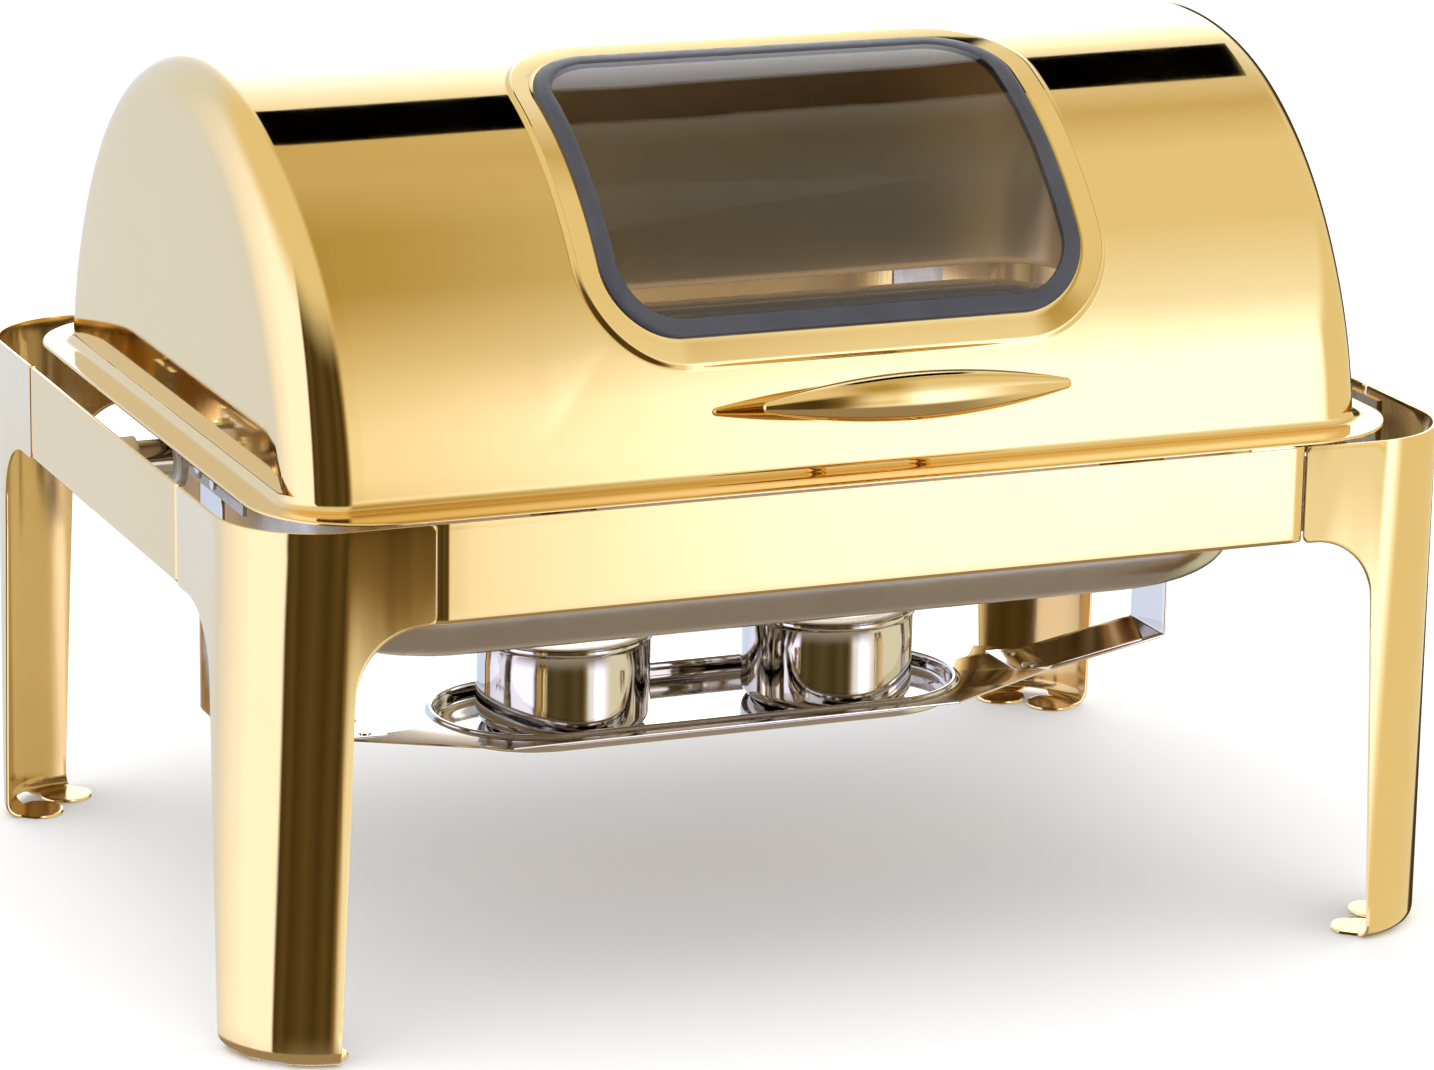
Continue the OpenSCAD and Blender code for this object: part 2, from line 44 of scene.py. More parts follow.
scene.view_settings.view_transform = "Standard"

# ---------- camera ----------

LENS_MM, SENSOR_MM = 144.8, 36
CAMERA_PLACE = (-1.0959, -2.6676, 0.9583)
CAMERA_RIGHT = (0.92523, -0.37908, 0.01627)
CAMERA_BACK = (-0.36987, -0.89155, 0.26144)


def make_camera():
    data = bpy.data.cameras.new("camera")
    data.lens = LENS_MM
    data.sensor_width = SENSOR_MM
    data.clip_end = 60
    camera = bpy.data.objects.new("camera", data)
    scene.collection.objects.link(camera)
    right = Vector(CAMERA_RIGHT).normalized()
    back = Vector(CAMERA_BACK).normalized()
    up = back.cross(right).normalized()
    right = up.cross(back)
    m = camera.matrix_world.copy()
    for i in range(3):
        m[i][0], m[i][1], m[i][2] = right[i], up[i], back[i]
    m[0][3], m[1][3], m[2][3] = CAMERA_PLACE
    camera.matrix_world = m
    scene.camera = camera


make_camera()

# ---------- materials ----------

STREAK_SCALE, STREAK_DEPTH = 90.0, 0.0004
TWIST_PIVOT, WAVE_SCALE, WAVE_LEAN = 0.11, 42.0, 0.10


class Nodes:
    """Short way to wire a node tree."""

    def __init__(self, tree):
        self.tree = tree
        tree.nodes.clear()

    def add(self, kind, **inputs):
        node = self.tree.nodes.new("ShaderNode" + kind)
        for key, value in inputs.items():
            self.put(node, key.replace("_", " "), value)
        return node

    def put(self, node, key, value):
        socket = node.inputs[int(key)] if key.isdigit() else node.inputs[key]
        if isinstance(value, bpy.types.NodeSocket):
            self.tree.links.new(value, socket)
        else:
            socket.default_value = value

    def math(self, kind, a, b):
        node = self.add("Math")
        node.operation = kind
        self.put(node, "0", a)
        self.put(node, "1", b)
        return node.outputs[0]

    def product(self, *values):
        total = values[0]
        for value in values[1:]:
            total = self.math("MULTIPLY", total, value)
        return total

    def vector(self, kind, a, b=None):
        node = self.add("VectorMath")
        node.operation = kind
        self.put(node, "0", a)
        if b is not None:
            self.put(node, "Scale" if kind == "SCALE" else "1", b)
        return node.outputs[0]

    def span(self, value, lo, hi, to=(0.0, 1.0), smooth=True):
        node = self.add("MapRange")
        node.interpolation_type = "SMOOTHSTEP" if smooth else "LINEAR"
        node.clamp = True
        for i, v in enumerate((value, lo, hi, to[0], to[1])):
            self.put(node, str(i), v)
        return node.outputs[0]

    def mix(self, factor, a, b):
        node = self.add("Mix")
        node.data_type = "RGBA"
        for i, v in ((0, factor), (6, a), (7, b)):
            plain = isinstance(v, (float, int, bpy.types.NodeSocket))
            self.put(node, str(i), v if plain else (*v[:3], 1))
        return node.outputs[2]

    def ramp(self, value, stops):
        node = self.add("ValToRGB")
        ramp = node.color_ramp
        while len(ramp.elements) < len(stops):
            ramp.elements.new(0.5)
        for element, (place, colour) in zip(ramp.elements, stops):
            element.position = place
            element.color = (*colour, 1)
        self.put(node, "0", value)
        return node.outputs[0]

    def noise(self, where, scale, stretch=(1, 1, 1), detail=3.0, rough=0.5):
        mapping = self.add("Mapping", Vector=where)
        mapping.inputs["Scale"].default_value = stretch
        node = self.add("TexNoise", Vector=mapping.outputs[0], Scale=scale, Detail=detail,
            Roughness=rough)
        return node.outputs["Fac"]


def material(name, metallic, colours, rough, streak=None, bump=0.0, spots=6.0, twist=0.0,
        **flat):
    """Principled surface: two tones in soft patches, smudged roughness, fine streaks in the bump."""
    m = bpy.data.materials.new(name)
    m.use_nodes = True
    n = Nodes(m.node_tree)
    out = n.add("OutputMaterial")
    shader = n.add("BsdfPrincipled")
    n.put(out, "Surface", shader.outputs[0])
    shader.inputs["Metallic"].default_value = metallic
    for key, value in flat.items():
        shader.inputs[key.replace("_", " ")].default_value = value
    where = n.add("TexCoord").outputs["Object"]
    patch = n.noise(where, spots, detail=4.0)
    n.put(shader, "Base Color", n.mix(n.span(patch, 0.3, 0.7), *colours))
    smudge = n.noise(where, spots * 5, stretch=(1, 1, 0.6), detail=6.0, rough=0.65)
    n.put(shader, "Roughness", n.span(smudge, 0.35, 0.75, rough, smooth=False))
    if bump:
        fine = n.noise(where, STREAK_SCALE, stretch=streak or (1, 1, 1), detail=2.0)
        height = n.add("Bump", Strength=bump, Distance=STREAK_DEPTH, Height=fine)
        if twist:
            n.put(height, "Normal", twisted(n, where, twist))
        n.put(shader, "Normal", height.outputs[0])
    return m


def twisted(n, where, twist):
    """Normal of a sheet that leans a little more to one side the lower it goes, with soft waves."""
    normal = n.add("NewGeometry").outputs["Normal"]
    across = n.vector("CROSS_PRODUCT", normal, (0, 0, 1))
    height = n.add("SeparateXYZ", Vector=where).outputs[2]
    wave = n.noise(where, WAVE_SCALE, stretch=(1, 1, 0.07), detail=2.0)
    lean = n.math("MULTIPLY", n.math("SUBTRACT", height, TWIST_PIVOT), twist)
    wobble = n.math("MULTIPLY", n.math("SUBTRACT", wave, 0.5), WAVE_LEAN)
    lean = n.math("ADD", lean, wobble)
    return n.vector("NORMALIZE", n.vector("ADD", normal, n.vector("SCALE", across, lean)))


gold = material("gold_polished", 1.0, ((0.93, 0.70, 0.345), (0.91, 0.68, 0.33)), (0.035, 0.07),
    streak=(0.25, 1, 4), bump=0.012)
gold_leg = material("gold_leg", 1.0, ((0.93, 0.70, 0.345), (0.91, 0.68, 0.33)), (0.035, 0.07),
    streak=(1, 1, 0.1), bump=0.02, twist=0.75)
gold_inner = material("gold_inner", 1.0, ((0.68, 0.48, 0.21), (0.60, 0.41, 0.17)), (0.12, 0.22),
    streak=(4, 4, 0.2), bump=0.10)
lid_inside = material("lid_inside", 1.0, ((0.94, 0.74, 0.49), (0.88, 0.68, 0.44)), (0.42, 0.56),
    streak=(0.05, 2, 2), bump=0.03)
polished = material("steel_polished", 1.0, ((0.80, 0.76, 0.71), (0.76, 0.72, 0.68)), (0.05, 0.12),
    streak=(1, 1, 3), bump=0.02, spots=14.0)
satin = material("steel_satin", 1.0, ((0.60, 0.57, 0.53), (0.52, 0.49, 0.46)), (0.24, 0.38),
    streak=(0.2, 4, 4), bump=0.12, spots=18.0)
pan_steel = material("pan_steel", 1.0, ((0.66, 0.62, 0.57), (0.60, 0.56, 0.52)), (0.20, 0.32),
    streak=(0.06, 3, 3), bump=0.06, spots=9.0)
rubber = material("gasket_rubber", 0.0, ((0.040, 0.042, 0.058), (0.052, 0.054, 0.070)), (0.30, 0.46),
    bump=0.03, spots=40.0)
silicone = material("silicone", 0.0, ((0.70, 0.70, 0.68), (0.60, 0.60, 0.59)), (0.40, 0.60),
    bump=0.12, spots=60.0)
nylon = material("bush_nylon", 0.0, ((0.86, 0.86, 0.83), (0.80, 0.79, 0.75)), (0.36, 0.50),
    bump=0.08, spots=50.0)
glass = material("glass", 0.0, ((0.98, 0.975, 0.965), (0.95, 0.945, 0.935)), (0.0, 0.006),
    spots=2.0, Transmission_Weight=1.0, IOR=1.45)

# ---------- mesh tools ----------


class Skin:
    """Quads gathered from grids of points, welded where they meet."""

    def __init__(self):
        self.points, self.faces = [], []

    def grid(self, rows, closed=False):
        base, n = len(self.points), len(rows[0])
        for row in rows:
            self.points += row
        for i in range(len(rows) - 1):
            for j in range(n if closed else n - 1):
                k = (j + 1) % n
                a = base + i * n
                self.faces.append((a + j, a + k, a + n + k, a + n + j))
        return self

    def mirrored(self, sx, sy):
        self.points = [(x * sx, y * sy, z) for x, y, z in self.points]
        return self


def round_edges(piece, width):
    edge = piece.modifiers.new("edge", "BEVEL")
    edge.width = width * MM
    edge.segments = 2
    edge.limit_method = "ANGLE"
    edge.angle_limit = BEND_LIMIT


def build(name, skin, body, mats, outward=None, thick=None, bevel=0.3, sharp=38):
    """Makes the piece: welds, turns its faces outward, thickens a sheet inward and rounds its edges."""
    mesh = bpy.data.meshes.new(name)
    mesh.from_pydata([(x * MM, y * MM, z * MM) for x, y, z in skin.points], [], skin.faces)
    bm = bmesh.new()
    bm.from_mesh(mesh)
    bmesh.ops.remove_doubles(bm, verts=bm.verts, dist=0.02 * MM)
    bmesh.ops.dissolve_degenerate(bm, edges=bm.edges, dist=0.005 * MM)
    bmesh.ops.recalc_face_normals(bm, faces=bm.faces)
    if outward:
        lean = 0.0
        for f in bm.faces:
            want = Vector(outward(*(f.calc_center_median() / MM)))
            lean += f.calc_area() * f.normal.dot(want)
        if lean < 0:
            bmesh.ops.reverse_faces(bm, faces=bm.faces)
    bm.to_mesh(mesh)
    bm.free()
    piece = bpy.data.objects.new(name, mesh)
    scene.collection.objects.link(piece)
    for m in mats if isinstance(mats, (list, tuple)) else [mats]:
        mesh.materials.append(m)
    if thick:
        sheet = piece.modifiers.new("sheet", "SOLIDIFY")
        sheet.thickness = thick * MM
        sheet.offset = -1
        sheet.use_even_offset = True
        if len(mesh.materials) > 1:
            sheet.material_offset = 1
    if bevel:
        round_edges(piece, bevel)
    depsgraph = bpy.context.evaluated_depsgraph_get()
    final = bpy.data.meshes.new_from_object(piece.evaluated_get(depsgraph))
    piece.modifiers.clear()
    piece.data = final
    final.shade_smooth()
    final.set_sharp_from_angle(angle=math.radians(sharp))
    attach(piece, body)
    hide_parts(name)


def lerp(a, b, t):
    return tuple(p + (q - p) * t for p, q in zip(a, b))


def smooth(t):
    t = min(1.0, max(0.0, t))
    return t * t * (3 - 2 * t)


def cosd(a):
    return math.cos(math.radians(a))


def sind(a):
    return math.sin(math.radians(a))


def steps(a, b, n):
    return [a + (b - a) * i / n for i in range(n + 1)]


def ring(a, b, r, z, arc=12, side=10):
    """Round-cornered rectangle at one height."""
    points = []
    corners = [(a - r, b - r), (r - a, b - r), (r - a, r - b), (a - r, r - b)]
    for k, (cx, cy) in enumerate(corners):
        points += [(cx + r * cosd(t), cy + r * sind(t), z) for t in steps(90 * k, 90 * k + 90, arc)]
        nx, ny = corners[(k + 1) % 4]
        start = points[-1]
        end = (nx + r * cosd(90 * k + 90), ny + r * sind(90 * k + 90), z)
        points += [lerp(start, end, i / side) for i in range(1, side)]
    return points


def shrunk(points, k):
    return [(x * k, y * k, z) for x, y, z in points]


def lathe(profile, cx=0.0, cy=0.0, n=96):
    return Skin().grid([[(cx + r * cosd(t), cy + r * sind(t), z) for t in steps(0, 360, n)[:-1]]
        for r, z in profile], closed=True)


# ---------- frame: legs and rails ----------

HALF_L, HALF_W, CORNER = 320.0, 235.0, 50.0
BAND_TOP, BAND_LOW, SHEET = 262.0, 213.0, 1.5
CX, CY = HALF_L - CORNER, HALF_W - CORNER
FOOT_BEND = 8.0
LEG_X = (227.4, 233.0, 267.0, 274.0)
LEG_Y = (127.4, 144.0, 178.0, 187.0)
SHOULDER = 34.0
LEG_HEIGHTS = (150, 115, 80, 50, 28, 15, FOOT_BEND)
TAB_ARC, TAB_RADIUS, TAB_PLACE = (140, 235), 14, (9, 31)
NOTCH = (31, 59)
NOTCH_REACH = 44
ROLL = 2.5


def flange_columns(marks):
    """Distances along one flange from its seam to the foot, with the heights of both edges."""
    seam, centre, tangent, foot = marks
    out = []
    for t in (0, 0.25, 0.8, 1.6, 3.0):
        low = 3 - math.sqrt(max(0, 9 - (3 - t) ** 2))
        top = 2 - math.sqrt(max(0, 4 - (2 - min(t, 2)) ** 2))
        out.append((seam + t, BAND_LOW + low, BAND_TOP - top))
    waist = BAND_LOW - SHOULDER
    for a in range(6, 96, 6):
        out.append((centre + SHOULDER * sind(a), waist + SHOULDER * cosd(a), BAND_TOP))
    if centre - seam > 8:
        out.insert(5, (centre, BAND_LOW, BAND_TOP))
    for z in LEG_HEIGHTS:
        out.append((tangent + (foot - tangent) * (1 - z / waist), z, BAND_TOP))
    return out


def foot_tab(skin, arc_points, swap):
    """Tongue on the floor from the bend's end line out to a round tip."""
    n = len(arc_points) - 1
    tip = []
    for i, p in enumerate(arc_points):
        if i in (0, n):
            tip.append(p)
            continue
        a = TAB_ARC[0] + TAB_ARC[1] * i / n
        u = TAB_PLACE[0] + TAB_RADIUS * cosd(a)
        v = TAB_PLACE[1] + TAB_RADIUS * sind(a)
        tip.append((CX + (v if swap else u), CY + (u if swap else v), 0.0))
    skin.grid([[lerp(p, q, t) for p, q in zip(arc_points, tip)] for t in steps(0, 1, 7)])


def leg(name, sx, sy):
    columns = []

    def column(x, y, nx, ny, low, top):
        columns.append((x, y, nx, ny, low, top))

    def on_arc(s):
        return s, math.sqrt(1 - s * s)

    for d, low, top in flange_columns(LEG_X):
        if d <= CX:
            column(d, HALF_W, 0, 1, low, top)
        else:
            s, c = on_arc((d - CX) / CORNER)
            column(CX + CORNER * s, CY + CORNER * c, s, c, low, top)
    first = len(columns) - 1
    start = math.degrees(math.asin((flange_columns(LEG_X)[-1][0] - CX) / CORNER))
    end = 90 - math.degrees(math.asin((flange_columns(LEG_Y)[-1][0] - CY) / CORNER))
    turns = steps(start, end, 36)
    for a in turns[1:-1]:
        column(CX + CORNER * sind(a), CY + CORNER * cosd(a), sind(a), cosd(a), FOOT_BEND, BAND_TOP)
    last = len(columns)
    for d, low, top in reversed(flange_columns(LEG_Y)):
        if d <= CY:
            column(HALF_L, d, 1, 0, low, top)
        else:
            s, c = on_arc((d - CY) / CORNER)
            column(CX + CORNER * c, CY + CORNER * s, c, s, low, top)
    rows = 22
    skin = Skin()
    skin.grid([[(x, y, low + (top - low) * i / rows) for x, y, _, _, low, top in columns]
        for i in range(rows + 1)])
    foot = columns[first:last + 1]
    bend = []
    for k in range(9):
        row = []
        for (x, y, nx, ny, low, top), a in zip(foot, turns):
            reach = 90 - NOTCH_REACH * smooth((a - NOTCH[0]) / 7) * smooth((NOTCH[1] - a) / 7)
            b = reach * k / 8
            inset = FOOT_BEND * (1 - cosd(b))
            row.append((x - nx * inset, y - ny * inset, FOOT_BEND * (1 - sind(b))))
        bend.append(row)
    skin.grid(bend)
    count = sum(1 for a in turns if a <= 32)
    foot_tab(skin, bend[-1][:count], False)
    foot_tab(skin, bend[-1][::-1][:count], True)
    skin.mirrored(sx, sy)

    def outward(x, y, z):
        return (x - sx * 150, y - sy * 80, -400.0 if z < 1 else 0.0)

    build(name, skin, "frame", [gold_leg, gold_inner], outward, SHEET)


def rail(name, half, face, along_x, side, bend, width):
    """Face sheet with its lower edge rolled inward and both ends curved back on a given radius."""
    stations = steps(-half, width - half, 10)[:-1] + steps(width - half, half - width, 40)
    stations += steps(half - width, half, 10)[1:]
    section = [(0, z) for z in steps(BAND_TOP, BAND_LOW + ROLL, 12)]
    section += [(ROLL * (1 - cosd(a)), BAND_LOW + ROLL - ROLL * sind(a)) for a in steps(15, 90, 5)]
    section += [(6.5, BAND_LOW)]
    rows = []
    for inset, z in section:
        row = []
        for s in stations:
            d = max(0.0, abs(s) - (half - width))
            depth = face - inset - bend + math.sqrt(bend * bend - d * d)
            row.append((s, side * depth, z) if along_x else (side * depth, s, z))
        rows.append(row)
    sign = (0, side, 0) if along_x else (side, 0, 0)
    build(name, Skin().grid(rows), "frame", [gold, gold_inner],
        lambda x, y, z: sign, SHEET)


for name, sx, sy in (("leg_front_left", -1, -1), ("leg_front_right", 1, -1),
        ("leg_back_left", -1, 1), ("leg_back_right", 1, 1)):
    leg(name, sx, sy)
rail("rail_front", 226.9, HALF_W, True, -1, 16.0, 7.0)
rail("rail_back", 226.9, HALF_W, True, 1, 16.0, 7.0)
rail("rail_left", 126.6, HALF_L, False, -1, 4.0, 3.4)
rail("rail_right", 126.6, HALF_L, False, 1, 4.0, 3.4)

# ---------- lid ----------

R, AXIS = 200.0, 242.0
LID_HALF, LID_FILLET = 283.0, 28.0
FLANGE_Z, BASE_FILLET = 262.0, 5.0
WINDOW_ANGLE, WINDOW_X = 52.5, 8.0
WINDOW_A, WINDOW_B, WINDOW_R = 127.0, 91.0, 38.0
SURROUND = 11.0
PATCH_X, PATCH_TURN = 160.0, 40.0
TOP_TIGHTER = 7
FLANGE_EDGE = 1.3


def on_lid(x, angle, radius=R):
    return (x, -radius * cosd(angle), AXIS + radius * sind(angle))


def lowest(radius):
    """Angle where the lid's curve meets the top of the base fillet."""
    rise = FLANGE_Z + BASE_FILLET - AXIS
    return math.degrees(math.asin(min(1.0, rise / radius)))


def window_point(x, c, height):
    return on_lid(WINDOW_X + x, WINDOW_ANGLE + math.degrees(math.asin(c / R)), R + height)


def off_outline(x, c, d):
    """The point at distance d outside the window outline, opposite the point (x, c)."""
    kx = max(WINDOW_R - WINDOW_A, min(WINDOW_A - WINDOW_R, x))
    kc = max(WINDOW_R - WINDOW_B, min(WINDOW_B - WINDOW_R, c))
    n = Vector((x - kx, c - kc)).normalized()
    return kx + n.x * (WINDOW_R + d), kc + n.y * (WINDOW_R + d)


def emboss(d):
    """Height of the window's raised surround at a distance from the gasket's edge."""
    if d >= SURROUND:
        return smooth((SURROUND + 3 - d) / 3)
    return 1.0 - 2.2 * (SURROUND - max(d, 1)) / SURROUND


def over_top(t):
    """0 at the foot of the lid's curve, 1 over its top."""
    return smooth((min(t, 180 - t) - 25) / 50)


def lid_skin():
    skin = Skin()
    base = lowest(R)
    turn = 1.25
    low, high = WINDOW_ANGLE - PATCH_TURN, WINDOW_ANGLE + PATCH_TURN
    lines = steps(base, low, 4)[:-1] + steps(low, high, int(2 * PATCH_TURN / turn))
    lines += steps(high, 180 - base, 64)[1:]
    first, last = 4, 4 + int(2 * PATCH_TURN / turn)

    def arc(x, radius, part=slice(None)):
        start = lowest(radius)
        k = (90 - start) / (90 - base)
        return [on_lid(x, 90 + (t - 90) * k, radius) for t in lines[part]]

    def round_row(side, b):
        """Line of the end's rounding, which is tighter over the top than at the foot."""
        row = []
        for t in lines:
            f = LID_FILLET - TOP_TIGHTER * over_top(t)
            start = lowest(R - LID_FILLET * (1 - cosd(b)))
            k = (90 - start) / (90 - base)
            x = side * (LID_HALF - f * (1 - sind(b)))
            row.append(on_lid(x, 90 + (t - 90) * k, R - f * (1 - cosd(b))))
        return row

    def widened(x, t):
        share = (x - PATCH_X) / (LID_HALF - LID_FILLET - PATCH_X)
        return x + TOP_TIGHTER * share * over_top(t)

    side = steps(PATCH_X, LID_HALF - LID_FILLET, 16)
    round_end = [(LID_HALF - LID_FILLET * (1 - sind(b)), R - LID_FILLET * (1 - cosd(b)))
        for b in steps(0, 90, 18)]
    disc = [(LID_HALF, r) for r in (160, 145, 130, 112, 95, 78, 60, 45, 34, 28, 25.4, 25.0)]
    stations = [(x, R) for x in side[:-1]] + round_end + disc
    for s in (-1, 1):
        rows = [[on_lid(s * widened(x, t), t) for t in lines] for x in side[:-1]]
        rows += [round_row(s, b) for b in steps(0, 90, 18)]
        skin.grid(rows + [arc(s * x, r) for x, r in disc])
    across = steps(-PATCH_X, PATCH_X, 64)
    skin.grid([arc(x, R, slice(0, first + 1)) for x in across])
    skin.grid([arc(x, R, slice(last, None)) for x in across])
    border = [(x, low) for x in across[:-1]] + [(PATCH_X, t) for t in lines[first:last]]
    border += [(x, high) for x in across[:0:-1]] + [(-PATCH_X, t) for t in lines[last:first:-1]]
    flat = [(x - WINDOW_X, R * sind(t - WINDOW_ANGLE)) for x, t in border]
    rows = []
    outer = (-5, -3, -1, 0, 1, 2.5, 4, 6, 8, 9.5, 10.5) + tuple(steps(11, 14, 6)) + (14.6, 16, 20)
    for d in outer:
        rows.append([window_point(*off_outline(x, c, d), emboss(d)) for x, c in flat])
    for t in (0.3, 0.65, 1.0):
        rows.append([window_point(*lerp(off_outline(x, c, 20), (x, c), t), 0) for x, c in flat])
    skin.grid(rows, closed=True)
    # base fillet and flange, following the foot of the curve all round
    foot = [(-x, r) for x, r in reversed(stations)] + [(x, R) for x in across[1:-1]] + stations
    rise = FLANGE_Z + BASE_FILLET - AXIS
    front = [(x, -math.sqrt(max(0.0, r * r - rise * rise))) for x, r in foot]
    loop = front + [(x, -y) for x, y in reversed(front[1:-1])]
    core_x, core_y, edge = 240.0, 166.0, 60.0
    rows = [[] for _ in range(20)]
    for x, y in loop:
        kx, ky = max(-core_x, min(core_x, x)), max(-core_y, min(core_y, y))
        n = Vector((x - kx, y - ky)).normalized()
        reach = Vector((kx - x, ky - y)).dot(n) + edge
        for i, a in enumerate(steps(0, 90, 7)):
            d = BASE_FILLET * (1 - cosd(a))
            rows[i].append((x + n.x * d, y + n.y * d, FLANGE_Z + BASE_FILLET * (1 - sind(a))))
        for i, t in enumerate(steps(0, 1, 6)[1:]):
            d = BASE_FILLET + (reach - FLANGE_EDGE - BASE_FILLET) * t
            rows[8 + i].append((x + n.x * d, y + n.y * d, FLANGE_Z))
        for i, a in enumerate(steps(0, 90, 5)[1:]):
            d = reach - FLANGE_EDGE + FLANGE_EDGE * sind(a)
            z = FLANGE_Z - FLANGE_EDGE * (1 - cosd(a))
            rows[14 + i].append((x + n.x * d, y + n.y * d, z))
    skin.grid(rows[:19], closed=True)
    return skin


def lid_outward(x, y, z):
    if z < FLANGE_Z + 0.5:
        return (0, 0, 1)
    return (x * 0.2, y, z - AXIS)


build("lid_shell", lid_skin(), "lid", [gold, lid_inside], lid_outward, 1.0, bevel=0)


def sweep_outline(section):
    """Carries a section of (distance, height) pairs round the window outline."""
    base = ring(WINDOW_A, WINDOW_B, WINDOW_R, 0, arc=20, side=24)
    rows = []
    for d, h in section + section[:1]:
        row = []
        for x, c, _ in base:
            row.append(window_point(*off_outline(x, c, d), h))
        rows.append(row)
    return Skin().grid(rows, closed=True)


GASKET = [(-0.3, -2.4), (0.0, -1.0), (-0.1, 0.2), (-0.5, 0.9), (-1.2, 1.25), (-2.4, 1.4), (-4.2, 1.4),
    (-6.0, 1.35), (-7.4, 1.2), (-8.3, 0.95), (-8.85, 0.55), (-9.0, 0.2), (-9.0, -3.9), (-8.7, -4.6),
    (-8.0, -4.9), (-1.2, -4.9), (-0.5, -4.4)]
build("window_gasket", sweep_outline(GASKET), "lid", rubber, bevel=0, sharp=50)


def glass_skin():
    base = ring(WINDOW_A - 7, WINDOW_B - 7, WINDOW_R - 7, 0, arc=14, side=20)
    outer, inner = 0.6, -2.9
    rows = []
    for height, scales in ((outer, (0.0, 0.15, 0.3, 0.45, 0.6, 0.75, 0.9, 0.985, 1.0)),
            (inner, (1.0, 0.985, 0.9, 0.75, 0.6, 0.45, 0.3, 0.15, 0.0))):
        rows += [[window_point(x * k, c * k, height) for x, c, _ in base] for k in scales]
    return Skin().grid(rows, closed=True)


build("window_glass", glass_skin(), "lid", glass, bevel=0)

# ---------- handle ----------

HANDLE_ANGLE, HANDLE_ORBIT, HANDLE_X = 15.0, 232.0, 21.0
POST_X, POST_TOP = 28, 24.7


def handle_point(x, out, up):
    c, s = cosd(HANDLE_ANGLE), sind(HANDLE_ANGLE)
    radius = HANDLE_ORBIT + out
    return (HANDLE_X + x, -radius * c + up * s, AXIS + radius * s + up * c)


def handle_skin():
    """Spindle that narrows to a small round tip each way."""
    half, big, tip = 81.0, 11.9, 2.9
    body = [(t * (half - tip), tip + (big - tip) * (1 - t * t)) for t in steps(-1, 1, 72)]
    cap = [(half - tip + tip * sind(a), tip * cosd(a)) for a in (12, 25, 38, 50, 62, 74, 84, 89.5)]
    profile = [(-x, r) for x, r in reversed(cap)] + body + cap
    return Skin().grid([[handle_point(x, r * cosd(a), r * sind(a)) for a in steps(0, 360, 72)[:-1]]
        for x, r in profile], closed=True)


build("handle", handle_skin(), "lid", gold, bevel=0, sharp=60)


def post(name, x):
    """Round post with a small foot where it meets the lid."""
    profile = [(0.01, -0.6), (6.6, -0.6), (6.6, 0.2), (6.3, 0.6), (5.4, 1.1), (5.0, 2.0),
        (5.0, POST_TOP - 0.7), (4.4, POST_TOP), (0.01, POST_TOP)]
    rows = []
    for r, d in profile:
        rows.append([handle_point(x + r * cosd(t), R - HANDLE_ORBIT + d, r * sind(t))
            for t in steps(0, 360, 40)[:-1]])
    build(name, Skin().grid(rows, closed=True), "lid", gold, bevel=0)


post("handle_post_left", -POST_X)
post("handle_post_right", POST_X)

# ---------- pans ----------


def tub_rows(mouth, floor, z_mouth, z_wall, z_floor, lean):
    """Rows of a tapered tub from its mouth down to the middle of its floor."""
    (a, b, r), (fa, fb, fr) = mouth, floor
    rows = []
    for t in steps(0, 90, 5):
        out = 3 * (1 - sind(t))
        rows.append(ring(a + out, b + out, r + out, z_mouth - 3 * (1 - cosd(t)), side=16))
    for t in steps(0, 1, 8)[1:]:
        z = z_mouth - 3 + (z_wall - z_mouth + 3) * t
        rows.append(ring(a - lean * t, b - lean * t, r + (fr - r) * 0.3 * t, z, side=16))
    for t in steps(0, 90, 12)[1:]:
        k, g = 1 - cosd(t), sind(t)
        rows.append(ring(a - lean + (fa - a + lean) * k, b - lean + (fb - b + lean) * k,
            r + (fr - r) * (0.3 + 0.7 * k), z_wall + (z_floor - z_wall) * g, side=16))
    last = rows[-1]
    rows += [shrunk(last, k) for k in (0.85, 0.68, 0.5, 0.32, 0.15, 0.0)]
    return rows


def pan(name, rim, mouth, floor, heights, lean, lip):
    """Rim with a turned-down lip, and the tub inside it, as one pressed sheet."""
    (a, b, r), (z_rim, z_wall, z_floor) = rim, heights
    rows = []
    if lip:
        rows += [ring(a, b, r, z_rim - lip, side=16), ring(a, b, r, z_rim - 1.2, side=16)]
    for t in steps(0, 90, 4)[1 if lip else 0:]:
        inset = 1.2 * (1 - cosd(t))
        rows.append(ring(a - inset, b - inset, r, z_rim - 1.2 + 1.2 * sind(t), side=16))
    brim = ring(mouth[0] + 3, mouth[1] + 3, mouth[2] + 3, z_rim, side=16)
    rows.append([lerp(p, q, 0.5) for p, q in zip(rows[-1], brim)])
    rows += tub_rows(mouth, floor, z_rim, z_wall, z_floor, lean)
    build(name, Skin().grid(rows, closed=True), name, pan_steel,
        lambda x, y, z: (-x, -y, 300.0), 0.9, bevel=0.2)


pan("water_pan", (275, 184, 50), (256, 159, 38), (222, 125, 58), (258, 190, 166), 9, 4)
pan("food_pan", (265, 162.5, 22), (251, 149, 29), (238, 136, 26), (259, 208, 195), 6, 0)

# ---------- fuel shelf ----------

SHELF_TOP, TRAY_FLOOR = 92.0, 84.0


